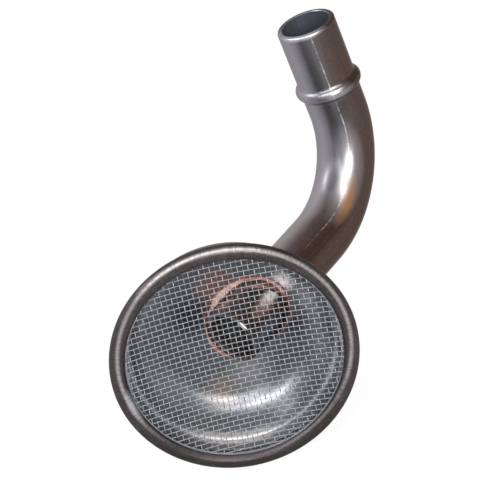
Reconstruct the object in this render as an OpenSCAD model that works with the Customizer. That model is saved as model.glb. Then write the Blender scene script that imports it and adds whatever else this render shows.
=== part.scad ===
// Oil pickup tube: a bent steel tube with a rolled bead, copper brazed into a stamped
// strainer bowl whose hemmed rim grips a woven wire screen. Millimetres.
// The origin is on the spigot axis where the bead seats, +Z leaves by the open end,
// and the screen faces -Y.

/* [Tube] */
// Outside diameter of the tube
tube_od = 19.05; // [16:0.05:21]
// Wall of the tube
tube_wall = 1.65; // [1:0.05:2.5]
// Length of the spigot, from the bead's seat to the open end
spigot_len = 19.3; // [12:0.1:30]
// Rounding of the spigot's outer edge
end_round = 0.8; // [0.3:0.1:0.9]
// Straight length from the bead's seat down to the bend
straight_len = 12.2; // [8:0.1:30]
// Radius of the bend's centre line
bend_r = 31; // [26:0.5:45]
// Angle of the bend
bend_deg = 90; // [80:1:100]
// Straight length from the bend to the cut end in the bowl
leg_len = 50; // [42:0.5:70]
// Turn of the leg about the spigot, away from the way the screen faces
leg_turn = 45; // [40:1:50]

/* [Bead] */
// Outside diameter of the rolled bead
bead_od = 22; // [21.6:0.1:23]
// Radius of the bead's crest
bead_round = 2.3; // [2:0.1:3]
// Radius of the blend from the bead to the tube
bead_blend = 1.5; // [0.8:0.1:2]
// Radius of the groove that rolling leaves inside the bead
groove_round = 1.2; // [0.8:0.1:1.4]

/* [Bowl] */
// Outside diameter over the hemmed rim
bowl_od = 75.6; // [70:0.2:90]
// Thickness of the bowl's sheet
sheet = 1.2; // [0.8:0.1:1.5]
// Outside diameter of the rim's curl
curl_d = 4.8; // [4.4:0.1:5.6]
// Step in from the curl to the straight band under it
band_inset = 0.7; // [0.4:0.1:1]
// Depth from the rim's middle to the foot of the band
band_depth = 6.8; // [5.5:0.1:7.2]
// Step in from the band to the dish
ledge = 0.8; // [0.4:0.1:1.2]
// Depth from the rim's middle to the middle of the dish
dish_depth = 21.2; // [20:0.1:25]
// Inside radius of the dish's shallow dome
dome_r = 300; // [120:10:600]
// Inside fillet between the dome and the wall of the dish
dish_fillet = 10.5; // [8:0.5:11]
// Tilt of the screen up from -Y
bowl_tilt = 5; // [0:1:8]

/* [Screen] */
// Diameter of the screen's wire
wire_d = 0.24; // [0.2:0.02:0.36]
// Pitch of the wires that run across the bowl
row_pitch = 1.75; // [1.7:0.01:2.2]
// Pitch of the wires that run up the bowl
column_pitch = 1.6; // [1.6:0.01:2.2]
// Thickness of the wall between the wires
web = 0.2; // [0.16:0.02:0.24]
// Turn of the weave in the bowl
weave_turn = -10; // [-45:1:45]
// How many wires of the weave one bar of the screen stands for
bar_count = 3; // [3:1:5]
// How far the screen's flattened edge reaches past the curl's middle
grip = 0.6; // [0.2:0.1:0.8]

/* [Braze] */
// Gap between the tube and the edge of its hole in the bowl
joint_gap = 0.05; // [0.02:0.01:0.2]
// Leg of the copper fillet
braze_leg = 1.2; // [0.8:0.1:2.5]
// How much further the copper has run over the bowl above the tube
braze_spread = 3.5; // [0:0.1:4]
// How far the low side of the cut end stands proud of the bowl
end_proud = 0.6; // [0.3:0.1:2]

/* [Hidden] */
$fn = 96;
tube_r = tube_od / 2;
bore_r = tube_r - tube_wall;
bead_centre = bead_od / 2 - bead_round;
blend_centre = tube_r + bead_blend;
bead_half = sqrt(pow(bead_round + bead_blend, 2) - pow(blend_centre - bead_centre, 2));
curl_r = curl_d / 2;
rim_r = bowl_od / 2 - curl_r;
band_r = rim_r - curl_r - band_inset;
dish_r = band_r - ledge;
dome_z = dome_r - dish_depth;
facing = 90 - bowl_tilt;

// Way of the leg into the bowl, in the part's frame and in the bowl's own frame
leg_way = [
    -sin(bend_deg) * sin(leg_turn),
    -sin(bend_deg) * cos(leg_turn),
    -cos(bend_deg)
];
leg_in_bowl = [
    leg_way.x,
    leg_way.y * cos(facing) + leg_way.z * sin(facing),
    leg_way.z * cos(facing) - leg_way.y * sin(facing)
];
leg_lean = acos(leg_in_bowl.z);

// Depth of the cut end's middle, from the dome under its low side
low_side = tube_r * cos(leg_lean);
dome_there = sqrt(dome_r * dome_r - low_side * low_side) - dome_z;
end_depth = dome_there - tube_r * sin(leg_lean) - end_proud;
cut_end = [0, 0, -end_depth];

// Reach of the bend and the leg, along the leg and down from the seat
leg_out = bend_r * (1 - cos(bend_deg)) + leg_len * sin(bend_deg);
leg_down = straight_len + bend_r * sin(bend_deg) + leg_len * cos(bend_deg);
leg_end = [-leg_out * sin(leg_turn), -leg_out * cos(leg_turn), -leg_down];
bowl_at = leg_end + end_depth * [0, -cos(bowl_tilt), sin(bowl_tilt)];

// Screen: half its full thickness, its edge and the open part inside the rim's lip
screen_half = wire_d;
screen_r = rim_r + grip;
open_r = rim_r - curl_r;
wire_fit = 0.01;
wire_r = wire_d / 2 - wire_fit;

// Cells of the screen: bars and gaps keep the open share of the weave they stand for
cell = bar_count * [column_pitch, row_pitch];
gap_size = cell - bar_count * [wire_d, wire_d];
gap_reach = open_r - norm(cell) / 3;

// Steps round the braze, its clearance and how hollow its face is
braze_steps = 72;
braze_clear = 0.03;
braze_waist = 0.28;

// Places children at the leg's cut end, with the leg running back along +Z
module at_leg_end() {
    translate(leg_end)
        rotate([0, 0, -leg_turn])
            rotate([-bend_deg, 0, 0])
                children();
}

// Places children at the middle of the rim, with +Z out of the bowl's mouth
module at_bowl() {
    translate(bowl_at)
        rotate([facing, 0, 0])
            children();
}

// Half section of the spigot with its rounded end, rolled bead and inner groove
module spigot_section() {
    shoulder = spigot_len - end_round;
    difference() {
        union() {
            translate([0, -straight_len])
                square([tube_r, straight_len + shoulder]);
            translate([0, shoulder])
                square([tube_r - end_round, end_round]);
            translate([tube_r - end_round, shoulder])
                circle(end_round);
            translate([0, -bead_half])
                bead_section();
        }
        translate([-bead_od, -straight_len - 1])
            square([bead_od + bore_r, straight_len + spigot_len + 2]);
        translate([bore_r, -bead_half])
            circle(groove_round);
    }
}

// Crest of the bead with a hollow blend on each side
module bead_section() {
    share = bead_round / (bead_round + bead_blend);
    touch = bead_centre + share * (blend_centre - bead_centre);
    translate([bead_centre, 0])
        circle(bead_round);
    difference() {
        polygon([
            [0, bead_half],
            [0, -bead_half],
            [tube_r, -bead_half],
            [touch, -share * bead_half],
            [touch, share * bead_half],
            [tube_r, bead_half]
        ]);
        for (side = [-1, 1])
            translate([blend_centre, side * bead_half])
                circle(bead_blend);
    }
}

// Ring of the tube's wall
module tube_section() {
    difference() {
        circle(tube_r);
        circle(bore_r);
    }
}

module pickup_tube() {
    color([0.50, 0.46, 0.45])
        rotate([0, 0, -leg_turn]) {
            rotate_extrude()
                spigot_section();
            translate([0, -bend_r, -straight_len])
                rotate([-90, 0, 90]) {
                    rotate_extrude(angle = bend_deg)
                        translate([bend_r, 0])
                            tube_section();
                    rotate([0, 0, bend_deg])
                        translate([bend_r, 0, 0])
                            rotate([-90, 0, 0])
                                linear_extrude(leg_len)
                                    tube_section();
                }
        }
}

// Half section of the space in the bowl, grown by a margin: band, dish wall, fillet and dome
module hollow_section(grow) {
    fillet = dish_fillet + grow;
    radius = dish_r + grow;
    sphere_r = dome_r + grow;
    fillet_x = radius - fillet;
    fillet_z = dome_z - sqrt(pow(sphere_r - fillet, 2) - fillet_x * fillet_x);
    slope = atan2(fillet_z - dome_z, fillet_x);
    far = 2 * sphere_r;
    translate([0, -band_depth - grow])
        square([band_r + grow, band_depth + grow]);
    translate([0, fillet_z])
        square([radius, -fillet_z]);
    translate([fillet_x, fillet_z])
        circle(fillet);
    intersection() {
        translate([0, dome_z])
            circle(sphere_r);
        polygon([
            [0, dome_z],
            [far * cos(slope), dome_z + far * sin(slope)],
            [far * cos(slope), dome_z - far],
            [0, dome_z - far]
        ]);
    }
}

// Half section of the rim: a hollow curl, open towards the axis to grip the screen
module rim_section() {
    difference() {
        translate([rim_r, 0])
            circle(curl_r);
        translate([rim_r, 0])
            circle(curl_r - sheet);
        translate([0, -screen_half])
            square([rim_r, 2 * screen_half]);
    }
    translate([band_r, -curl_r])
        square([rim_r - band_r - curl_r / 3, sheet]);
}

module bowl_section() {
    difference() {
        hollow_section(sheet);
        hollow_section(0);
        translate([0, -curl_r])
            square([bowl_od, 2 * dome_r]);
        translate([-bowl_od, -bowl_od])
            square([bowl_od, 2 * bowl_od]);
    }
    rim_section();
}

module strainer_bowl() {
    color([0.52, 0.51, 0.53])
        difference() {
            at_bowl()
                rotate_extrude()
                    bowl_section();
            at_leg_end()
                cylinder(r = tube_r + joint_gap, h = leg_len);
        }
}

// One layer of wires along X, laid side by side at a pitch
module wire_layer(lift, pitch) {
    each_way = floor(open_r / pitch);
    for (i = [-each_way : each_way]) {
        across = i * pitch;
        reach = sqrt(rim_r * rim_r - across * across);
        translate([-reach, across, lift])
            rotate([0, 90, 0])
                cylinder(r = wire_r, h = 2 * reach, $fn = 24);
    }
}

module wire_screen() {
    edge_in = open_r - wire_d;
    color([0.66, 0.68, 0.70])
        at_bowl()
            rotate([0, 0, weave_turn])
                difference() {
                    union() {
                        cylinder(r = screen_r, h = web, center = true);
                        wire_layer(wire_d / 2, cell.y);
                        rotate([0, 0, 90])
                            wire_layer(-wire_d / 2, cell.x);
                        difference() {
                            cylinder(r = screen_r, h = 2 * screen_half, center = true);
                            cylinder(r = open_r, h = 4 * screen_half, center = true);
                        }
                    }
                    open_gaps(edge_in);
                }
}

// Square gaps between the bars, cut off round the edge
module open_gaps(edge) {
    each_way = ceil(open_r / min(cell));
    intersection() {
        cylinder(r = edge, h = 4 * screen_half, center = true);
        union()
            for (i = [-each_way : each_way], j = [-each_way : each_way]) {
                at = [(i + 0.5) * cell.x, (j + 0.5) * cell.y, 0];
                if (norm(at) < gap_reach)
                    translate(at)
                        cube([gap_size.x, gap_size.y, 2 * screen_half], center = true);
            }
    }
}

// Unit vectors across the leg, in the bowl's frame
across_one = cross(leg_in_bowl, [0, 0, 1]) / sin(leg_lean);
across_two = cross(leg_in_bowl, across_one);
dome_mid = [0, 0, dome_z];

function radial(a) = cos(a) * across_one + sin(a) * across_two;
function unit(v) = v / norm(v);

// Distance along the leg from its cut end to a sphere about the dome's middle
function meet(a, sphere_r) =
    let (w = cut_end + tube_r * radial(a) - dome_mid, b = w * leg_in_bowl)
    -b - sqrt(b * b - w * w + sphere_r * sphere_r);

// Section of the fillet at one angle: side is 1 inside the bowl and -1 behind it
function braze_section(a, side) =
    let (
        sphere_r = side > 0 ? dome_r - braze_clear : dome_r + sheet + braze_clear,
        out = radial(a),
        s = meet(a, sphere_r),
        foot = cut_end + (tube_r + braze_clear) * out + s * leg_in_bowl,
        root = dome_mid + sphere_r * unit(foot - dome_mid),
        normal = unit(root - dome_mid),
        slide = unit(out - (out * normal) * normal),
        leg = side > 0 ? min(braze_leg, -s) : braze_leg,
        run = side > 0 ? braze_leg + braze_spread * pow(max(0, out.y), 2) : braze_leg,
        on_tube = foot + side * leg * leg_in_bowl,
        on_bowl = dome_mid + sphere_r * unit(root + run * slide - dome_mid),
        waist = root + braze_waist * (on_tube + on_bowl - 2 * root)
    )
    [on_tube, waist, on_bowl, root];

// Closed ring swept from the sections
module braze_ring(side) {
    rings = [for (k = [0 : braze_steps - 1]) braze_section(k * 360 / braze_steps, side)];
    count = len(rings[0]);
    faces = [
        for (k = [0 : braze_steps - 1], i = [0 : count - 1])
            let (
                here = k * count,
                next = ((k + 1) % braze_steps) * count,
                j = (i + 1) % count,
                quad = [here + i, here + j, next + j, next + i]
            )
            side > 0 ? quad : [quad[3], quad[2], quad[1], quad[0]]
    ];
    polyhedron([for (ring = rings) each ring], faces, 8);
}

module braze_fillet() {
    color([0.72, 0.40, 0.28])
        at_bowl()
            for (side = [-1, 1])
                braze_ring(side);
}

pickup_tube();
strainer_bowl();
wire_screen();
braze_fillet();
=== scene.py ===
"""Looks of an oil pickup tube: bent steel tube, stamped bowl, woven wire screen and copper braze."""
import math

import bmesh
import bpy
from mathutils import Matrix, Vector, noise


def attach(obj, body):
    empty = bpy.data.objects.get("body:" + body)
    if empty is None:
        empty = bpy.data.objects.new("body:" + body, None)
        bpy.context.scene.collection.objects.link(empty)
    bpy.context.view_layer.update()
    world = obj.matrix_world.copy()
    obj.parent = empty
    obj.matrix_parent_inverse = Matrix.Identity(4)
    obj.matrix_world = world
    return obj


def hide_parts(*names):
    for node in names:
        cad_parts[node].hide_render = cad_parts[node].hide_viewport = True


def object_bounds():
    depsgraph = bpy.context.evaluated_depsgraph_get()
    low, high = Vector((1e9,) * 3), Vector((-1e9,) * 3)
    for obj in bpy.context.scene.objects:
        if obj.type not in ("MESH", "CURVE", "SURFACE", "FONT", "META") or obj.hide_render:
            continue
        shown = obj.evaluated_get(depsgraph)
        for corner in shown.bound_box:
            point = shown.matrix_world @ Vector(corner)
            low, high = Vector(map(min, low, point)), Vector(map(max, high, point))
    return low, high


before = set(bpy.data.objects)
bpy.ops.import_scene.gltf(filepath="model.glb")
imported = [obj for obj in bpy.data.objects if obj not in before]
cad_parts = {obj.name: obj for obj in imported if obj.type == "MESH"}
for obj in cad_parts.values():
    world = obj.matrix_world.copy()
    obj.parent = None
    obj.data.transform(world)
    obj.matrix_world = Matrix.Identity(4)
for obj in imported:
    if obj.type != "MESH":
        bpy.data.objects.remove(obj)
cad_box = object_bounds()

MM = 0.001

# Tube, as in the part's source
TUBE_R = 9.525 * MM
TUBE_WALL = 1.65 * MM
SPIGOT_LEN = 19.3 * MM
END_ROUND = 0.8 * MM
END_BREAK = 0.15 * MM
STRAIGHT_LEN = 12.2 * MM
BEND_R = 31 * MM
LEG_LEN = 50 * MM
LEG_TURN = math.radians(45)
CUT_ROUND = 0.45 * MM
JOINT_GAP = 0.05 * MM

# Bead
BEAD_R = 11 * MM
BEAD_ROUND = 2.3 * MM
BEAD_BLEND = 1.5 * MM
GROOVE_ROUND = 1.2 * MM

# Bowl, with a rounder step under the band than in the source
SHEET = 1.2 * MM
BOWL_R = 37.8 * MM
CURL_R = 2.4 * MM
LIP_BREAK = 0.2 * MM
BAND_INSET = 0.7 * MM
BAND_DEPTH = 6.8 * MM
LEDGE = 0.8 * MM
STEP_DEG = 45
STEP_OUT = 2.9 * MM
STEP_IN = 1.5 * MM
STEP_LIFT = 0.3 * MM
DISH_DEPTH = 21.2 * MM
DISH_FILLET = 10.5 * MM
DOME_R = 300 * MM
BOWL_TILT = math.radians(5)
END_PROUD = 0.6 * MM

# Screen
WIRE_R = 0.11 * MM
WIRE_GRIP = 0.3 * MM
SLOT_CLEAR = 0.02 * MM
ROW_PITCH = 1.75 * MM
COLUMN_PITCH = 1.6 * MM
WEAVE_TURN = math.radians(-10)
ROW_WAVE = 0.3 * WIRE_R
COLUMN_WAVE = 1.9 * WIRE_R
ROW_BOW = 0.0021 / MM

# Braze, with the share of its waist, how uneven it is and how often that changes round the tube
BRAZE_LEG = 1.2 * MM
BRAZE_SPREAD = 3.5 * MM
BRAZE_CLEAR = 0.03 * MM
BRAZE_WAIST = 0.06
BRAZE_UNEVEN = 0.35
BRAZE_LUMPS = 3

# Meshing: distances at which points merge and edges vanish, angle of a sharp edge, start of the dome's
# arc beside the axis, and a margin on heights
MERGE_DIST = 1e-7
TINY_EDGE = 1e-8
SHARP_ANGLE = math.radians(40)
NEAR_AXIS_DEG = -89.95
SECTION_TOL = 0.01 * MM

# Camera, fitted to the photograph's outlines in a frame of 480 by 480 pixels
CAMERA_AT = Vector((-11.4, -496.3, 237.4)) * MM
CAMERA_WAY = Vector((-0.0615, 0.8674, -0.4937))
CAMERA_ROLL = math.radians(-23.8)
FRAME_PX = 480
FOCAL_PX = 1700
SENSOR_MM = 36

# Studio, in metres
FLOOR_HALF = 3.0
FLOOR_GREY = (0.8, 0.8, 0.8)
FLOOR_ROUGH = 0.9
FLOOR_SEEN = 0.93
LIGHT_AIM = Vector((-0.03, -0.04, -0.03))
PALE_WAY = (-0.85, 0.5, 0.15)
PALE_TONE = (1.05, 1.05, 1.10)
DIM_TONE = (0.32, 0.27, 0.25)
TONE_RANGE = (-0.6, 0.9)
WHITE = (1, 1, 1)

# Worked out from the sizes above
BORE_R = TUBE_R - TUBE_WALL
BEND_AT = SPIGOT_LEN + STRAIGHT_LEN
BEND_ARC = BEND_R * math.pi / 2
LEG_AT = BEND_AT + BEND_ARC
TUBE_LEN = LEG_AT + LEG_LEN
BEAD_MID = BEAD_R - BEAD_ROUND
BLEND_MID = TUBE_R + BEAD_BLEND
BEAD_HALF = math.sqrt((BEAD_ROUND + BEAD_BLEND) ** 2 - (BLEND_MID - BEAD_MID) ** 2)
BEAD_AT = SPIGOT_LEN + BEAD_HALF
RIM_R = BOWL_R - CURL_R
LIP_Z = SHEET - CURL_R
BAND_R = RIM_R - CURL_R - BAND_INSET
LEDGE_ROUND = LEDGE / 2
DISH_R = BAND_R - LEDGE
DOME_Z = DOME_R - DISH_DEPTH
STEP_R = BAND_R - (STEP_OUT + STEP_IN) * (1 - math.cos(math.radians(STEP_DEG)))
STEEPEST = COLUMN_WAVE * math.pi / ROW_PITCH
LEG_WAY = Vector((-math.sin(LEG_TURN), -math.cos(LEG_TURN), 0))
BOWL_WAY = Vector((0, -math.cos(BOWL_TILT), math.sin(BOWL_TILT)))
LEG_LEAN = LEG_WAY.angle(BOWL_WAY)
LOW_SIDE = TUBE_R * math.cos(LEG_LEAN)
END_DEPTH = math.sqrt(DOME_R ** 2 - LOW_SIDE ** 2) - DOME_Z - TUBE_R * math.sin(LEG_LEAN) - END_PROUD
LEG_END = LEG_WAY * (BEND_R + LEG_LEN) + Vector((0, 0, -STRAIGHT_LEN - BEND_R))
BOWL_AT = LEG_END + BOWL_WAY * END_DEPTH
BOWL = Matrix.Translation(BOWL_AT) @ Matrix.Rotation(math.pi / 2 - BOWL_TILT, 4, "X")


def in_bowl(at):
    """Point of the part from millimetres in the bowl's frame."""
    return BOWL @ (Vector(at) * MM)


# Places of the finish and of painted light: weld seam as a share of a turn round the tube, upper side of
# the rim
SEAM_AT = 224 / 360
RIM_TOP = math.radians(75)

# Copper's bright edge, a loop round the tube with a broad streak and a stretch under painted shade
LOOP_AT = in_bowl((6.4, 0.6, -21))
LOOP_TURN = math.radians(35)
LOOP_HALF = (14.45 * MM, 11.5 * MM)
EDGE_WIDTH = 0.042
STREAK_AT = in_bowl((3, 10.8, -21))
STREAK_REACH = (3 * MM, 9 * MM)
STREAK_WIDTH = 0.060
EDGE_SHADE_AT = in_bowl((17, -8, -21))
EDGE_SHADE_REACH = (10.5 * MM, 13.5 * MM)


# Mesh helpers

def turns(count):
    """Angles of evenly spaced points round a ring."""
    return [2 * math.pi * k / count for k in range(count)]


def lofted(name, rings, closed_rings=False, along=None):
    """Mesh over closed rings of points, with UV u round a ring and v along the loft in metres."""
    count = len(rings[0])
    mesh = bpy.data.meshes.new(name)
    spans = len(rings) if closed_rings else len(rings) - 1
    faces = []
    for k in range(spans):
        for i in range(count):
            j = (i + 1) % count
            n = (k + 1) % len(rings)
            faces.append((k * count + i, k * count + j, n * count + j, n * count + i))
    mesh.from_pydata([p for ring in rings for p in ring], [], faces)
    if along is None:
        along = [0.0]
        for a, b in zip(rings, rings[1:] + rings[:1]):
            along.append(along[-1] + (b[0] - a[0]).length)
    layer = mesh.uv_layers.new(name="UVMap")
    for f, poly in enumerate(mesh.polygons):
        k, i = divmod(f, count)
        corners = ((i, k), (i + 1, k), (i + 1, k + 1), (i, k + 1))
        for loop, (u, v) in zip(poly.loop_indices, corners):
            layer.data[loop].uv = (u / count, along[v])
    return mesh


def placed(name, data):
    """New object in the scene for a mesh, light or camera."""
    obj = bpy.data.objects.new(name, data)
    bpy.context.scene.collection.objects.link(obj)
    return obj


def finished(name, mesh, material):
    """Object with outward normals, smooth shading and sharp edges past an angle."""
    bm = bmesh.new()
    bm.from_mesh(mesh)
    bmesh.ops.remove_doubles(bm, verts=bm.verts, dist=MERGE_DIST)
    bmesh.ops.dissolve_degenerate(bm, edges=bm.edges, dist=TINY_EDGE)
    bmesh.ops.recalc_face_normals(bm, faces=bm.faces)
    bm.to_mesh(mesh)
    bm.free()
    mesh.shade_smooth()
    mesh.set_sharp_from_angle(angle=SHARP_ANGLE)
    mesh.materials.append(material)
    return placed(name, mesh)


def arc(mid, radius, start_deg, end_deg, steps):
    """Points of an arc in a section plane."""
    angles = [math.radians(start_deg + (end_deg - start_deg) * k / steps) for k in range(steps + 1)]
    return [(mid[0] + radius * math.cos(a), mid[1] + radius * math.sin(a)) for a in angles]


def line(a, b, steps):
    """Points of a straight stretch, without its first point."""
    return [tuple(p + (q - p) * k / steps for p, q in zip(a, b)) for k in range(1, steps + 1)]


# Tube

def tube_frame(s):
    """Point, outward and sideways axes of the tube's centre line, s metres below the open end."""
    side = LEG_WAY.cross(Vector((0, 0, 1)))
    s_bend = s - BEND_AT
    if s_bend <= 0:
        return Vector((0, 0, SPIGOT_LEN - s)), -LEG_WAY, side
    turn = min(s_bend / BEND_R, math.pi / 2)
    mid = LEG_WAY * BEND_R - Vector((0, 0, STRAIGHT_LEN))
    out = -LEG_WAY * math.cos(turn) - Vector((0, 0, 1)) * math.sin(turn)
    past = max(0.0, s_bend - BEND_ARC)
    return mid + out * BEND_R + LEG_WAY * past, out, side


def tube_profile():
    """Radius against distance below the open end: outside down to the cut end, then the bore back up."""
    blend_deg = math.degrees(math.atan2(BEAD_HALF, BLEND_MID - BEAD_MID))
    cut_s = TUBE_LEN - CUT_ROUND
    points = [(BORE_R + END_BREAK, 0.0)]
    points += arc((TUBE_R - END_ROUND, END_ROUND), END_ROUND, -90, 0, 8)
    points += line(points[-1], (TUBE_R, SPIGOT_LEN), 12)
    points += arc((BLEND_MID, SPIGOT_LEN), BEAD_BLEND, 180, 180 - blend_deg, 6)[1:]
    points += arc((BEAD_MID, BEAD_AT), BEAD_ROUND, -blend_deg, blend_deg, 16)[1:]
    points += arc((BLEND_MID, BEAD_AT + BEAD_HALF), BEAD_BLEND, 180 + blend_deg, 180, 6)[1:]
    points += line(points[-1], (TUBE_R, BEND_AT), 6)
    points += line(points[-1], (TUBE_R, LEG_AT), 64)
    points += line(points[-1], (TUBE_R, cut_s), 40)
    points += arc((TUBE_R - CUT_ROUND, cut_s), CUT_ROUND, 0, 90, 5)[1:]
    points += arc((BORE_R + CUT_ROUND, cut_s), CUT_ROUND, 90, 180, 5)
    points += line(points[-1], (BORE_R, LEG_AT), 20)
    points += line(points[-1], (BORE_R, BEND_AT), 48)
    points += line(points[-1], (BORE_R, BEAD_AT + GROOVE_ROUND), 3)
    points += arc((BORE_R, BEAD_AT), GROOVE_ROUND, 90, -90, 10)[1:]
    points += line(points[-1], (BORE_R, END_BREAK), 6)
    return points


def tube_mesh(around=128):
    """Tube, with UV v the distance along its section: the bore follows the outside."""
    rings, along = [], []
    run = last = 0.0
    for radius, s in tube_profile():
        at, out, side = tube_frame(s)
        rings.append([at + radius * (math.cos(a) * out + math.sin(a) * side) for a in turns(around)])
        run += abs(s - last)
        along.append(run)
        last = s
    return lofted("tube", rings, closed_rings=True, along=along + along[-1:])


# Bowl

def dish_points(grow):
    """Section of the dish from the axis to its wall, grown by a margin; the inside meets the step."""
    fillet = DISH_FILLET + grow
    sphere_r = DOME_R + grow
    fillet_x = (DISH_R + grow if grow else STEP_R) - fillet
    fillet_z = DOME_Z - math.sqrt((sphere_r - fillet) ** 2 - fillet_x ** 2)
    slope = math.degrees(math.atan2(fillet_z - DOME_Z, fillet_x))
    points = arc((0, DOME_Z), sphere_r, NEAR_AXIS_DEG, slope, 30)
    return points + arc((fillet_x, fillet_z), fillet, slope, 0, 24)[1:]


def step_points():
    """Section of the round step from the dish out to the band."""
    rise = math.sin(math.radians(STEP_DEG))
    low = -BAND_DEPTH - STEP_OUT * rise + STEP_LIFT
    high = low + (STEP_OUT + STEP_IN) * rise
    points = arc((STEP_R + STEP_OUT, low), STEP_OUT, 180, 180 - STEP_DEG, 10)
    return points + arc((BAND_R - STEP_IN, high), STEP_IN, -STEP_DEG, 0, 6)[1:]


def bowl_profile():
    """Section from the middle of the dish, round the rim's curl, to the middle of its back."""
    slot = 2 * WIRE_R + SLOT_CLEAR
    outer_slot = math.degrees(math.asin(slot / CURL_R))
    outer_lip = math.degrees(math.asin(-LIP_Z / CURL_R))
    inner_slot = math.degrees(math.asin(slot / (CURL_R - SHEET)))
    rim = (RIM_R, 0)
    back_r = BAND_R + SHEET
    foot = -BAND_DEPTH - SHEET
    points = dish_points(0) + step_points()
    points += line(points[-1], (BAND_R, LIP_Z - LIP_BREAK), 8)
    points += [(BAND_R + LIP_BREAK, LIP_Z)]
    points += arc(rim, CURL_R, 180 + outer_lip, 180 + outer_slot, 4)
    points += arc(rim, CURL_R - SHEET, 180 + inner_slot, 540 - inner_slot, 24)
    points += arc(rim, CURL_R, 180 - outer_slot, -90, 48)
    points += line(points[-1], (back_r + SHEET, -CURL_R), 3)
    points += arc((back_r + SHEET, -CURL_R - SHEET), SHEET, 90, 180, 6)[1:]
    points += line(points[-1], (back_r, foot + LEDGE_ROUND), 4)
    points += arc((back_r - LEDGE_ROUND, foot + LEDGE_ROUND), LEDGE_ROUND, 0, -90, 5)[1:]
    points += arc((back_r - LEDGE_ROUND, foot - LEDGE_ROUND), LEDGE_ROUND, 90, 180, 5)[1:]
    return points + dish_points(SHEET)[::-1]


def section_length(height):
    """Length of the bowl's section from the middle of the dish to its first point above a height."""
    points = bowl_profile()
    length = 0.0
    for a, b in zip(points, points[1:]):
        length += math.dist(a, b)
        if b[1] > height:
            break
    return length


# Lengths of the section up to the top of the band inside, the front of the curl and the step under the band
INSIDE_END = section_length(LIP_Z - LIP_BREAK - SECTION_TOL)
CREST_AT = section_length(CURL_R - SECTION_TOL)
STEP_AT = INSIDE_END - BAND_DEPTH - LIP_Z


def bowl_mesh(around=256):
    """Bowl without its hole, with UV v the distance along its section."""
    rings = []
    for radius, z in bowl_profile():
        ring = [Vector((radius * math.cos(a), radius * math.sin(a), z)) for a in turns(around)]
        rings.append([BOWL @ p for p in ring])
    return lofted("bowl", rings)


def cut_by_tube(obj, sides=128):
    """Cuts the tube's hole in the bowl."""
    way = LEG_WAY.to_track_quat("Z", "Y").to_matrix().to_4x4()
    place = Matrix.Translation(LEG_END - LEG_WAY * LEG_LEN / 2) @ way
    hole_r = TUBE_R + JOINT_GAP
    bm = bmesh.new()
    bmesh.ops.create_cone(
        bm, cap_ends=True, segments=sides, radius1=hole_r, radius2=hole_r, depth=LEG_LEN, matrix=place)
    mesh = bpy.data.meshes.new("hole_cutter")
    bm.to_mesh(mesh)
    bm.free()
    cutter = placed("hole_cutter", mesh)
    cut = obj.modifiers.new("hole", "BOOLEAN")
    cut.object = cutter
    cut.operation = "DIFFERENCE"
    cut.solver = "EXACT"
    graph = bpy.context.evaluated_depsgraph_get()
    done = bpy.data.meshes.new_from_object(obj.evaluated_get(graph))
    obj.modifiers.clear()
    obj.data = done
    bpy.data.objects.remove(cutter)
    done.set_sharp_from_angle(angle=SHARP_ANGLE)


# Screen

def wire_reach(across, bow, rounds=12):
    """Half length of a bowed wire whose ends lie in the rim's curl, by repeated substitution."""
    edge = RIM_R + WIRE_GRIP
    reach = 0.0
    for _ in range(rounds):
        reach = math.sqrt(edge ** 2 - (across - bow * reach ** 2) ** 2)
    return reach


def wire_rings(across, cross_pitch, wave, bow, lag, sides=6, per_pitch=4):
    """Rings of one wire that weaves over and under the wires that cross it, each with its slope."""
    reach = wire_reach(across, bow)
    steps = int(2 * reach / cross_pitch * per_pitch)
    turn = math.pi / cross_pitch
    sideways = Vector((0, 1, 0))
    rings = []
    for k in range(steps + 1):
        x = -reach + 2 * reach * k / steps
        slope = -wave * turn * math.sin(turn * (x + lag))
        at = Vector((x, across - bow * x * x, wave * math.cos(turn * (x + lag))))
        up = Vector((-slope, 0, 1)).normalized()
        ring = [at + WIRE_R * (math.cos(a) * sideways + math.sin(a) * up) for a in turns(sides)]
        rings.append((ring, slope))
    return rings


def screen_mesh():
    """Woven wires, with UV u the wire's slope and v round it, below 0.5 in rows and above it in columns."""
    verts, faces, corners = [], [], []
    turn = Matrix.Rotation(WEAVE_TURN, 4, "Z")
    ways = ((0, ROW_PITCH, COLUMN_PITCH, ROW_WAVE), (1, COLUMN_PITCH, ROW_PITCH, COLUMN_WAVE))
    for quarter, pitch, cross_pitch, wave in ways:
        place = BOWL @ turn @ Matrix.Rotation(quarter * math.pi / 2, 4, "Z")
        count = int((RIM_R - CURL_R) / pitch)
        for i in range(-count, count + 1):
            side = wave if (i + quarter) % 2 else -wave
            bow, lag = (0.0, ROW_BOW * (i * pitch) ** 2) if quarter else (ROW_BOW, 0.0)
            rings = wire_rings(i * pitch, cross_pitch, side, bow, lag)
            start = len(verts)
            sides = len(rings[0][0])
            leans = [0.5 + 0.5 * slope / STEEPEST for _, slope in rings]
            for ring, _ in rings:
                verts += [place @ p for p in ring]
            for k in range(len(rings) - 1):
                a, b = start + k * sides, start + (k + 1) * sides
                for s in range(sides):
                    t = (s + 1) % sides
                    faces.append((a + s, a + t, b + t, b + s))
                    v, w = (quarter + s / sides) / 2, (quarter + (s + 1) / sides) / 2
                    corners += [(leans[k], v), (leans[k], w), (leans[k + 1], w), (leans[k + 1], v)]
    mesh = bpy.data.meshes.new("screen")
    mesh.from_pydata(verts, [], faces)
    layer = mesh.uv_layers.new(name="OFBake")
    for corner, spot in zip(layer.data, corners):
        corner.uv = spot
    return mesh


# Braze

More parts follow.
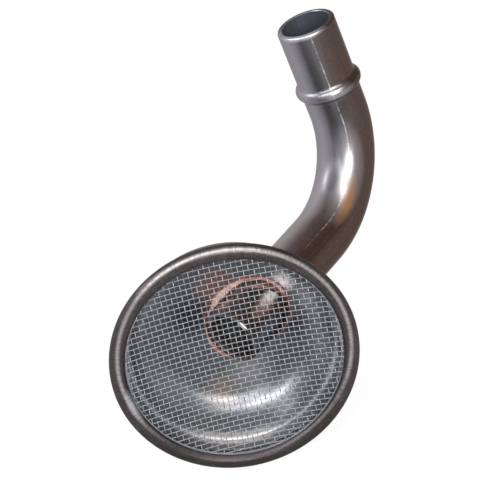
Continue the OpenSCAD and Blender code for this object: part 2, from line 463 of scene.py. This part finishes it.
def braze_section(a, side, steps=6):
    """Section of the copper at one angle round the leg: side is 1 in the bowl and -1 behind it."""
    way = BOWL.to_3x3().transposed() @ LEG_WAY
    first = way.cross(Vector((0, 0, 1))).normalized()
    out = math.cos(a) * first + math.sin(a) * way.cross(first)
    dome_mid = Vector((0, 0, DOME_Z))
    sphere_r = DOME_R - BRAZE_CLEAR if side > 0 else DOME_R + SHEET + BRAZE_CLEAR
    end = Vector((0, 0, -END_DEPTH))
    from_mid = end + TUBE_R * out - dome_mid
    lead = from_mid.dot(way)
    back = -lead - math.sqrt(lead * lead - from_mid.dot(from_mid) + sphere_r ** 2)
    foot = end + (TUBE_R + BRAZE_CLEAR) * out + back * way
    normal = (foot - dome_mid).normalized()
    root = dome_mid + sphere_r * normal
    slide = (out - out.dot(normal) * normal).normalized()
    lump_at = Vector((BRAZE_LUMPS * math.cos(a), BRAZE_LUMPS * math.sin(a), side))
    width = BRAZE_LEG * (1 + BRAZE_UNEVEN * noise.noise(lump_at))
    leg = min(width, -back) if side > 0 else width
    run = width + (BRAZE_SPREAD * max(0.0, out.y) ** 2 if side > 0 else 0.0)
    on_tube = foot + side * leg * way
    on_bowl = dome_mid + sphere_r * (root + run * slide - dome_mid).normalized()
    waist = root + BRAZE_WAIST * (on_tube + on_bowl - 2 * root)
    ring = []
    for k in range(steps + 1):
        t = k / steps
        ring.append((1 - t) ** 2 * on_tube + 2 * t * (1 - t) * waist + t * t * on_bowl)
    return [BOWL @ p for p in ring + [root]]


def braze_mesh(steps=144):
    """Both rings of copper, one on each side of the bowl's sheet."""
    bm = bmesh.new()
    for side in (-1, 1):
        rings = [braze_section(a, side) for a in turns(steps)]
        bm.from_mesh(lofted("copper", rings, closed_rings=True))
    mesh = bpy.data.meshes.new("braze")
    bm.to_mesh(mesh)
    bm.free()
    return mesh


# Nodes: roughness and usual range of the noises, full share of a patch and of the copper's edge

NOISE_ROUGH = 0.55
NOISE_RANGE = (0.3, 0.7)
PATCH_CORE = 0.25
EDGE_CORE = 0.55


class Nodes:
    """Node tree with short calls for the nodes that the materials and the world share."""

    def __init__(self, tree):
        self.tree = tree

    def node(self, kind, **settings):
        made = self.tree.nodes.new(kind)
        for key, value in settings.items():
            setattr(made, key, value)
        return made

    def link(self, out, into):
        self.tree.links.new(out, into)

    def feed(self, value, into):
        """Links a socket to an input, or sets the input to a colour or a number."""
        if isinstance(value, bpy.types.NodeSocket):
            self.link(value, into)
        elif isinstance(value, tuple):
            into.default_value = (*value, 1)
        else:
            into.default_value = value

    def point(self, source):
        return self.node("ShaderNodeTexCoord").outputs[source]

    def measure(self, operation, source, vector):
        """Distance to a point, or dot product with a direction, of the coordinates."""
        made = self.node("ShaderNodeVectorMath", operation=operation)
        self.link(self.point(source), made.inputs[0])
        made.inputs[1].default_value = vector
        return made.outputs["Value"]

    def mix(self, factor, a, b):
        """Mix of two colours; the node's sockets go by number, because their names repeat."""
        made = self.node("ShaderNodeMix", data_type="RGBA")
        for value, socket in ((factor, 0), (a, 6), (b, 7)):
            self.feed(value, made.inputs[socket])
        return made.outputs[2]

    def span(self, value, low, high, to_low=0.0, to_high=1.0):
        """Value moved from one range to another and held at its ends."""
        made = self.node("ShaderNodeMapRange")
        for key, number in (("From Min", low), ("From Max", high), ("To Min", to_low), ("To Max", to_high)):
            made.inputs[key].default_value = number
        self.link(value, made.inputs["Value"])
        return made.outputs["Result"]

    def maths(self, operation, a, b=0.0):
        made = self.node("ShaderNodeMath", operation=operation)
        for value, into in zip((a, b), made.inputs):
            self.feed(value, into)
        return made.outputs[0]


class Shader(Nodes):
    """Node material with short calls for what the finishes share."""

    def __init__(self, name, metallic, specular_tint=WHITE):
        self.material = bpy.data.materials.new(name)
        self.material.use_nodes = True
        super().__init__(self.material.node_tree)
        self.main = self.tree.nodes["Principled BSDF"]
        self.main.inputs["Metallic"].default_value = metallic
        self.main.inputs["Specular Tint"].default_value = (*specular_tint, 1)

    def uv(self):
        made = self.node("ShaderNodeSeparateXYZ")
        self.link(self.point("UV"), made.inputs[0])
        return made.outputs["X"], made.outputs["Y"]

    def noise(self, source, scale, detail):
        """Noise over coordinates that are first scaled along each axis."""
        mapping = self.node("ShaderNodeMapping")
        mapping.inputs["Scale"].default_value = scale
        self.link(self.point(source), mapping.inputs["Vector"])
        made = self.node("ShaderNodeTexNoise")
        made.inputs["Scale"].default_value = 1.0
        made.inputs["Detail"].default_value = detail
        made.inputs["Roughness"].default_value = NOISE_ROUGH
        self.link(mapping.outputs["Vector"], made.inputs["Vector"])
        return made.outputs["Fac"]

    def ramp(self, value, stops):
        made = self.node("ShaderNodeValToRGB")
        band = made.color_ramp
        while len(band.elements) < len(stops):
            band.elements.new(0.5)
        for element, (at, colour) in zip(band.elements, stops):
            element.position = at
            element.color = (*colour, 1)
        self.link(value, made.inputs["Fac"])
        return made.outputs["Color"]

    def varied(self, noise_value, low, high):
        """Number that varies with a noise."""
        return self.span(noise_value, *NOISE_RANGE, low, high)

    def mottled(self, noise_value, dark, pale, spread=NOISE_RANGE):
        """Colour that varies with a noise."""
        return self.ramp(noise_value, list(zip(spread, (dark, pale))))

    def tinted(self, colour, mask, share, tint):
        """Colour with a tint laid over it by a share of a mask."""
        return self.mix(self.maths("MULTIPLY", mask, share), colour, tint)

    def near(self, point, inner, outer):
        """Mask that is 1 within one distance of a point of the part and 0 past another."""
        return self.span(self.measure("DISTANCE", "Object", point), outer, inner)

    def along_way(self, way, start):
        """Distance of a point of the part along a direction, from a start."""
        return self.maths("SUBTRACT", self.measure("DOT_PRODUCT", "Object", way), way.dot(start))

    def off_middle(self, offsets, halves):
        """Distance from the middle of an ellipse as a share of its size, so 1 is on the ellipse."""
        squares = []
        for offset, half in zip(offsets, halves):
            off = self.maths("DIVIDE", offset, half)
            squares.append(self.maths("MULTIPLY", off, off))
        return self.maths("SQRT", self.maths("ADD", *squares))

    def patch(self, place, at, size):
        """Mask that is 1 in the middle of a rounded patch of the UV plane and 0 at its edge."""
        offsets = [self.maths("SUBTRACT", value, mid) for value, mid in zip(place, at)]
        return self.span(self.off_middle(offsets, size), 1.0, PATCH_CORE)

    def patches(self, colour, place, marks):
        """Colour with a table of patches laid over it in turn, and the masks of the patches by name."""
        masks = {}
        for name, (at, size, share, tint) in marks.items():
            masks[name] = self.patch(place, at, size)
            colour = self.tinted(colour, masks[name], share, tint)
        return colour, masks

    def copper_loop(self):
        """How far a point lies out of the copper's edge round the tube, as a share of the loop's size."""
        offsets = []
        for turn in (LOOP_TURN, LOOP_TURN + math.pi / 2):
            way = BOWL.to_3x3() @ Vector((math.cos(turn), math.sin(turn), 0))
            offsets.append(self.along_way(way, LOOP_AT))
        return self.maths("SUBTRACT", self.off_middle(offsets, LOOP_HALF), 1.0)

    def copper_edge(self, off, cloud):
        """Masks of the copper's bright edge, with a stretch of it under painted shade, and of its broad
        streak.
        """
        streak = self.near(STREAK_AT, *STREAK_REACH)
        width = self.maths("ADD", EDGE_WIDTH, self.maths("MULTIPLY", streak, STREAK_WIDTH))
        width = self.maths("MULTIPLY", width, self.varied(cloud, 0.6, 1.3))
        edge = self.span(self.maths("DIVIDE", self.maths("ABSOLUTE", off), width), 1.0, EDGE_CORE)
        unshaded = self.maths("SUBTRACT", 1.0, self.near(EDGE_SHADE_AT, *EDGE_SHADE_REACH))
        return self.maths("MULTIPLY", edge, unshaded), streak

    def bump(self, height, strength, distance):
        made = self.node("ShaderNodeBump")
        made.inputs["Strength"].default_value = strength
        made.inputs["Distance"].default_value = distance
        self.link(height, made.inputs["Height"])
        self.link(made.outputs["Normal"], self.main.inputs["Normal"])

    def finish(self, colour, roughness):
        self.link(colour, self.main.inputs["Base Color"])
        self.link(roughness, self.main.inputs["Roughness"])
        return self.material


# Tube's material

# Patches on the tube: middle and half size, round it in turns and along it, then share and colour
# Painted light on the bend: a lighter sheen round its highlight and above it, a darker, rougher patch as
# painted shade where a reflection is damped, painted shade under the bead, and a lighter sheen on the bead.
BEND_MARKS = {
    "painted_highlight": ((0.630, 57 * MM), (0.092, 24.5 * MM), 0.80, (0.30, 0.285, 0.29)),
    "dull_shade": ((0.548, 60 * MM), (0.052, 13 * MM), 0.80, (0.060, 0.060, 0.068)),
    "pale": ((0.581, 41.5 * MM), (0.045, 10.5 * MM), 0.70, (0.25, 0.255, 0.29)),
    "shade_under_bead": ((0.642, 27.5 * MM), (0.050, 6 * MM), 0.65, (0.045, 0.042, 0.044)),
    "bead_sheen": ((0.630, BEAD_AT), (0.120, 3.2 * MM), 0.75, (0.30, 0.295, 0.31)),
}
GOLD_AT = (0.660, 66.5 * MM)
GOLD_SIZE = (0.040, 12.5 * MM)
# Painted highlights at the ends: a bright, rougher spot of light on the tube inside the bowl, and glints on
# the cut end's edge and on the open end's lip.
END_MARKS = {
    "glow": ((0.662, 119 * MM), (0.050, 7.5 * MM), 0.80, (0.62, 0.34, 0.25)),
    "shine": ((0.775, 124.5 * MM), (0.075, 11 * MM), 0.80, (0.15, 0.17, 0.205)),
    "tube_glint": ((0.650, 115 * MM), (0.040, 6.5 * MM), 1.00, (0.98, 0.90, 0.90)),
    "cut_edge_glint": ((0.648, TUBE_LEN), (0.030, 1.2 * MM), 1.00, (0.90, 0.86, 0.84)),
    "open_end_glint": ((0.580, 0.4 * MM), (0.160, 1.2 * MM), 0.80, (0.45, 0.45, 0.47)),
}


def weld_seam(look, around, along):
    """Mask of the weld seam: a thin broken line that fades out on the leg."""
    line_mask = look.span(look.maths("ABSOLUTE", look.maths("SUBTRACT", around, SEAM_AT)), 0.0045, 0.0015)
    broken = look.noise("UV", (1, 420, 1), 3)
    seam = look.maths("MULTIPLY", line_mask, look.span(broken, 0.42, 0.64, 0.05, 0.75))
    return look.maths("MULTIPLY", seam, look.span(along, 96 * MM, 78 * MM))


def tube_steel():
    """Drawn tube: grey with a bright weld seam, pale on one side as a painted sheen, browned past the seam
    and on the leg.
    """
    look = Shader("tube_steel", 0.85, (0.55, 0.52, 0.50))
    around, along = look.uv()
    place = (around, along)
    streaks = look.noise("UV", (60, 16, 1), 6)
    grain = look.noise("Object", (1500, 1500, 1500), 3)
    cloud = look.noise("Object", (70, 70, 70), 4)
    wander = look.maths("ADD", around, look.varied(cloud, -0.012, 0.012))
    # The pale band round the tube, from about 0.37 to 0.49 in both ramps, is a painted sheen on one side.
    grey = look.ramp(wander, [
        (0.30, (0.10, 0.088, 0.086)), (0.37, (0.25, 0.235, 0.265)), (0.48, (0.225, 0.215, 0.245)),
        (0.555, (0.095, 0.095, 0.106)), (0.618, (0.105, 0.101, 0.108)), (0.66, (0.080, 0.060, 0.055)),
        (0.74, (0.066, 0.043, 0.037)), (0.86, (0.070, 0.046, 0.037)), (0.97, (0.10, 0.085, 0.08))])
    brown = look.ramp(wander, [
        (0.30, (0.10, 0.075, 0.065)), (0.37, (0.33, 0.305, 0.305)), (0.49, (0.29, 0.265, 0.265)),
        (0.57, (0.105, 0.075, 0.070)), (0.64, (0.066, 0.042, 0.035)), (0.86, (0.054, 0.032, 0.023)),
        (0.97, (0.10, 0.075, 0.065))])
    colour = look.mix(look.span(along, 54 * MM, 80 * MM), grey, brown)
    stain = look.maths("MULTIPLY", look.span(around, 0.58, 0.66), look.span(streaks, 0.48, 0.70, 0.0, 0.40))
    colour = look.mix(stain, colour, (0.115, 0.068, 0.043))
    colour, bend_masks = look.patches(colour, place, BEND_MARKS)
    gold = look.patch(place, GOLD_AT, GOLD_SIZE)
    gold = look.maths("MULTIPLY", gold, look.span(cloud, 0.25, 0.60, 0.35, 1.0))
    colour = look.tinted(colour, gold, 0.9, (0.52, 0.26, 0.095))
    colour = look.mix(look.span(grain, 0.45, 0.75, 0.0, 0.10), colour, (0.28, 0.26, 0.26))
    # The bore is paled to blue-grey with painted light.
    in_bore = look.span(along, TUBE_LEN + 4 * MM, TUBE_LEN + 8 * MM)
    colour = look.mix(in_bore, colour, (0.19, 0.215, 0.26))
    colour, end_masks = look.patches(colour, place, END_MARKS)
    colour = look.mix(weld_seam(look, around, along), colour, (0.60, 0.58, 0.60))
    matt = look.maths("MAXIMUM", end_masks["tube_glint"], bend_masks["dull_shade"])
    rough = look.maths("ADD", look.varied(streaks, 0.26, 0.36), look.maths("MULTIPLY", matt, 0.3))
    look.bump(grain, 0.03, 0.2 * MM)
    return look.finish(colour, rough)


# Bowl's material

# Marks in the bowl: place in its frame, inner and outer reach, all in mm, then share and colour
# Except the copper film, these marks are painted light and shade: a heat tint lightened by a painted
# highlight, painted shade beside the tube and to the left and right, a painted spot of light by the tube,
# and painted sheens and glints on the floor, the fillet and the walls.
BOWL_MARKS = {
    "copper_film": ((1.5, 13.4, -20.6), 3, 9, 0.70, (0.22, 0.090, 0.080)),
    "warm_tint_and_glint": ((-9.6, -19.5, -20.3), 1, 7, 0.50, (0.30, 0.205, 0.125)),
    "tube_shade_left": ((-9.5, 8, -21), 3, 10, 0.90, (0.012, 0.014, 0.018)),
    "tube_shade_right": ((18.5, -7, -21), 1, 8, 0.85, (0.012, 0.013, 0.015)),
    "spot_glint": ((21.3, 8.1, -20.3), 0.5, 4.5, 0.90, (0.95, 0.84, 0.84)),
    "wall_glint": ((26, -18, -10), 2, 10, 0.70, (0.62, 0.65, 0.70)),
    "floor_sheen": ((1, -17, -21), 2, 9, 0.60, (0.29, 0.28, 0.29)),
    "dim_left": ((-24, 5, -20), 4, 14, 0.45, (0.045, 0.048, 0.055)),
    "dim_right": ((17.8, -16.4, -19.9), 2, 9, 0.55, (0.040, 0.043, 0.050)),
    "foot_sheen": ((-11.6, -23.8, -18.6), 1, 7, 0.55, (0.15, 0.146, 0.146)),
    "foot_glint": ((1, -27.8, -18), 2, 7, 0.24, (0.80, 0.81, 0.83)),
    "foot_glint_right": ((10, -28, -16.5), 2, 7, 0.20, (0.72, 0.75, 0.79)),
    "fillet_glint": ((7.1, -29.4, -13.9), 1, 6, 0.75, (0.80, 0.82, 0.87)),
    "side_glint": ((29.7, 1, -15), 2, 9, 0.50, (0.50, 0.52, 0.56)),
}
CLOUD_RANGE = (0.35, 0.65)
STEP_HIGHLIGHT_AT = in_bowl((-11, -29, -7))
GLINT_SPOT_AT = (0.507, CREST_AT - 1.6 * MM)
GLINT_SPOT_SIZE = (0.032, 1.8 * MM)


def rim_colour(look, place, up, cloud, worn):
    """Rim: dark brown and striated, darker towards the bottom, with a painted highlight along the crest, a
    small painted glint and a painted highlight on the inner edge at the bottom.
    """
    _, along = place
    scratches = look.noise("UV", (700, 260, 1), 4)
    rim = look.mottled(cloud, (0.034, 0.028, 0.028), (0.050, 0.041, 0.041), CLOUD_RANGE)
    rim = look.mix(look.span(worn, 0.22, 0.42, 0.0, 0.25), rim, (0.20, 0.18, 0.18))
    # Darker towards the bottom.
    rim = look.mix(look.span(up, -0.3, -0.8, 0.0, 0.55), rim, (0.020, 0.017, 0.017))
    # A painted highlight along the crest: the line moves across the curl with the angle round the rim, as a
    # reflection of light from above does, and is broken by scratches and weaker at the bottom.
    crest_shift = look.span(up, -1, 1, -2.5 * MM, 1.9 * MM)
    off_crest = look.maths("SUBTRACT", look.maths("SUBTRACT", along, CREST_AT), crest_shift)
    crest = look.span(look.maths("ABSOLUTE", off_crest), 0.9 * MM, 0.1 * MM)
    crest = look.maths("MULTIPLY", crest, look.span(scratches, 0.35, 0.62, 0.35, 1.0))
    crest = look.maths("MULTIPLY", crest, look.span(up, -0.75, -0.2, 0.25, 1.0))
    rim = look.mix(crest, rim, (0.34, 0.315, 0.325))
    # A painted highlight on the inner edge in the lower half.
    inner_edge = look.span(along, CREST_AT - 3.0 * MM, CREST_AT - 3.2 * MM)
    inner_edge = look.maths("MULTIPLY", inner_edge, look.span(up, 0.0, -0.4, 0.0, 0.85))
    rim = look.mix(inner_edge, rim, (0.66, 0.68, 0.72))
    # A small painted glint on the rim, broken by scratches.
    small_glint = look.patch(place, GLINT_SPOT_AT, GLINT_SPOT_SIZE)
    small_glint = look.maths("MULTIPLY", small_glint, look.span(scratches, 0.3, 0.6, 0.2, 0.9))
    return look.mix(small_glint, rim, (0.44, 0.44, 0.47))


def inside_colour(look, along, up, cloud):
    """Inside: blue-grey floor with marks and the copper's edge, a wall paled by painted light, a painted
    highlight along the step, a band paled by painted light in the lower half and painted shade under the
    curl.
    """
    inside = look.mottled(cloud, (0.066, 0.073, 0.085), (0.092, 0.099, 0.112), CLOUD_RANGE)
    # The wall is paled with painted light.
    inside = look.mix(look.span(along, 22 * MM, 34 * MM, 0.0, 0.85), inside, (0.34, 0.355, 0.385))
    for at, inner, outer, share, tint in BOWL_MARKS.values():
        inside = look.tinted(inside, look.near(in_bowl(at), inner * MM, outer * MM), share, tint)
    off_step = look.maths("ABSOLUTE", look.maths("SUBTRACT", along, STEP_AT))
    # A painted highlight along the step.
    painted_highlight = look.near(STEP_HIGHLIGHT_AT, 7 * MM, 18 * MM)
    painted_highlight = look.maths("MULTIPLY", painted_highlight, look.span(off_step, 3.6 * MM, 1.8 * MM, 0.0, 0.95))
    inside = look.mix(painted_highlight, inside, (0.97, 0.93, 0.92))
    # The band is paled with painted light in the lower half.
    band = look.span(along, STEP_AT + 2.4 * MM, STEP_AT + 3.6 * MM)
    band = look.maths("MULTIPLY", band, look.span(up, -0.25, -0.6, 0.0, 0.85))
    inside = look.mix(band, inside, (0.23, 0.24, 0.265))
    # Painted shade at the top of the band in the lower half, under the curl's lip.
    shelf_shade = look.span(along, INSIDE_END - 0.4 * MM, INSIDE_END + 0.2 * MM)
    shelf_shade = look.maths("MULTIPLY", shelf_shade, look.span(up, -0.1, -0.5, 0.0, 0.85))
    inside = look.mix(shelf_shade, inside, (0.045, 0.048, 0.054))
    edge, streak = look.copper_edge(look.copper_loop(), cloud)
    edge = look.maths("MULTIPLY", edge, look.span(along, 24 * MM, 21 * MM))
    return look.mix(edge, inside, look.mix(streak, (0.48, 0.21, 0.17), (0.98, 0.60, 0.52)))


def bowl_steel():
    """Stamped sheet: blue-grey inside, dark brown on the rim, plain satin on the back."""
    look = Shader("bowl_steel", 0.8, (0.55, 0.54, 0.54))
    around, along = look.uv()
    cloud = look.noise("Object", (55, 55, 55), 4)
    stripes = look.noise("UV", (60, 2600, 1), 4)
    specks = look.noise("Object", (1400, 1400, 1400), 2)
    worn = look.maths("MULTIPLY", stripes, specks)
    up = look.maths("COSINE", look.maths("SUBTRACT", look.maths("MULTIPLY", around, 2 * math.pi), RIM_TOP))
    inside = inside_colour(look, along, up, cloud)
    rim = rim_colour(look, (around, along), up, cloud, worn)
    back = look.mottled(cloud, (0.125, 0.112, 0.110), (0.185, 0.168, 0.165), CLOUD_RANGE)
    on_rim = look.span(along, INSIDE_END + 1.3 * MM, INSIDE_END + 1.7 * MM)
    on_back = look.span(along, CREST_AT + 3.6 * MM, CREST_AT + 5.6 * MM)
    colour = look.mix(on_back, look.mix(on_rim, inside, rim), back)
    rough = look.maths("ADD", look.varied(stripes, 0.30, 0.38), look.maths("MULTIPLY", on_rim, 0.06))
    look.bump(look.maths("MULTIPLY", worn, look.span(on_rim, 0.0, 1.0, 0.35, 1.0)), 0.12, 0.3 * MM)
    return look.finish(colour, rough)


# Materials of the screen and the braze

def screen_wire():
    """Bright wire with painted shade: the columns are darker than the rows, and darkest on one slope of
    each wave.
    """
    look = Shader("screen_wire", 0.9, (0.70, 0.70, 0.70))
    grain = look.noise("Object", (900, 900, 900), 3)
    colour = look.mottled(grain, (0.36, 0.375, 0.40), (0.50, 0.52, 0.55))
    lean, round_wire = look.uv()
    column = look.maths("GREATER_THAN", round_wire, 0.5)
    column_shade = look.maths("MULTIPLY", column, 0.32)
    shade = look.maths("MAXIMUM", look.span(lean, 0.607, 0.793, 0.0, 0.68), column_shade)
    colour = look.mix(shade, colour, (0.05, 0.053, 0.058))
    return look.finish(colour, look.varied(grain, 0.44, 0.52))


def copper_braze():
    """Copper: dark by the tube, with a bright edge round it that a stretch of painted shade breaks, and a
    thin red film where it has run.
    """
    look = Shader("copper_braze", 0.9)
    cloud = look.noise("Object", (300, 300, 300), 4)
    off = look.copper_loop()
    edge, streak = look.copper_edge(off, cloud)
    inner = look.mottled(cloud, (0.045, 0.028, 0.027), (0.085, 0.045, 0.040))
    film = look.mottled(cloud, (0.11, 0.065, 0.062), (0.24, 0.105, 0.09))
    bright = look.mottled(cloud, (0.38, 0.15, 0.12), (0.70, 0.34, 0.27))
    shiny = look.mottled(cloud, (0.80, 0.42, 0.35), (1.0, 0.72, 0.64))
    behind = look.span(look.along_way(BOWL_WAY, LOOP_AT), 0.0, -0.6 * MM)
    colour = look.mix(look.span(off, -0.03, 0.05), inner, film)
    colour = look.mix(edge, colour, look.mix(streak, (0.50, 0.22, 0.18), shiny))
    colour = look.mix(behind, colour, bright)
    look.bump(cloud, 0.2, 0.3 * MM)
    return look.finish(colour, look.varied(cloud, 0.30, 0.45))


# Pieces

def dress():
    """Makes the four pieces and puts each in the place of its CAD node."""
    tube = finished("tube_look", tube_mesh(), tube_steel())
    bowl = finished("bowl_look", bowl_mesh(), bowl_steel())
    cut_by_tube(bowl)
    screen = finished("screen_look", screen_mesh(), screen_wire())
    braze = finished("braze_look", braze_mesh(), copper_braze())
    for piece, node, slot in (
            (tube, "pickup_tube", "tube_steel"),
            (bowl, "strainer_bowl", "bowl_steel"),
            (screen, "wire_screen", "screen_wire"),
            (braze, "braze_fillet", "copper_braze")):
        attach(piece, "root")
        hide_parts(node)


# Studio

def floor_material():
    """Pale paint that keeps the object's shadow, nearly white where it is looked at or reflected."""
    look = Shader("floor_paint", 0.0)
    look.main.inputs["Base Color"].default_value = (*FLOOR_GREY, 1)
    look.main.inputs["Roughness"].default_value = FLOOR_ROUGH
    path = look.node("ShaderNodeLightPath")
    seen = look.maths("MAXIMUM", path.outputs["Is Camera Ray"], path.outputs["Is Glossy Ray"])
    seen = look.maths("MAXIMUM", seen, path.outputs["Is Transmission Ray"])
    glow = look.node("ShaderNodeEmission")
    mixed = look.node("ShaderNodeMixShader")
    look.link(look.maths("MULTIPLY", seen, FLOOR_SEEN), mixed.inputs["Fac"])
    look.link(look.main.outputs["BSDF"], mixed.inputs[1])
    look.link(glow.outputs["Emission"], mixed.inputs[2])
    look.link(mixed.outputs["Shader"], look.tree.nodes["Material Output"].inputs["Surface"])
    return look.material


def studio_world():
    """Pale to the left and behind, dim to the right and in front; plain white where the camera sees it."""
    world = bpy.data.worlds.new("studio")
    world.use_nodes = True
    sky = Nodes(world.node_tree)
    paleness = sky.span(sky.measure("DOT_PRODUCT", "Generated", PALE_WAY), *TONE_RANGE)
    tone = sky.mix(paleness, DIM_TONE, PALE_TONE)
    seen = sky.node("ShaderNodeLightPath").outputs["Is Camera Ray"]
    sky.link(sky.mix(seen, tone, WHITE), sky.tree.nodes["Background"].inputs["Color"])
    return world


def area_light(name, at, size, watts, depth=None):
    """Rectangular lamp that faces the object, square unless it has a depth."""
    data = bpy.data.lights.new(name, "AREA")
    data.shape = "RECTANGLE"
    data.size = size
    data.size_y = depth or size
    data.energy = watts
    lamp = placed(name, data)
    lamp.location = at
    lamp.rotation_euler = (LIGHT_AIM - Vector(at)).to_track_quat("-Z", "Y").to_euler()


def studio():
    """Floor under the object, world and lamps."""
    low = cad_box[0][2]
    corners = ((-1, -1), (1, -1), (1, 1), (-1, 1))
    mesh = bpy.data.meshes.new("floor")
    mesh.from_pydata([(x * FLOOR_HALF, y * FLOOR_HALF, low) for x, y in corners], [], [(0, 1, 2, 3)])
    mesh.materials.append(floor_material())
    floor = placed("floor", mesh)
    bpy.context.scene.world = studio_world()
    area_light("front_box", (0.17, -0.93, 0.33), 0.30, 8.0)
    area_light("high_strip", (-0.05, -0.56, 0.62), 1.1, 8.0, depth=0.16)
    area_light("top_box", (-0.55, 0.02, 0.64), 0.35, 3.0)


def camera():
    """Camera at the photograph's place."""
    data = bpy.data.cameras.new("camera")
    data.sensor_width = SENSOR_MM
    data.sensor_fit = "HORIZONTAL"
    data.lens = SENSOR_MM * FOCAL_PX / FRAME_PX
    obj = placed("camera", data)
    facing = CAMERA_WAY.to_track_quat("-Z", "Y").to_matrix().to_4x4()
    obj.matrix_world = Matrix.Translation(CAMERA_AT) @ facing @ Matrix.Rotation(CAMERA_ROLL, 4, "Z")
    bpy.context.scene.camera = obj


dress()
studio()
camera()
bpy.context.scene.view_settings.view_transform = "Standard"
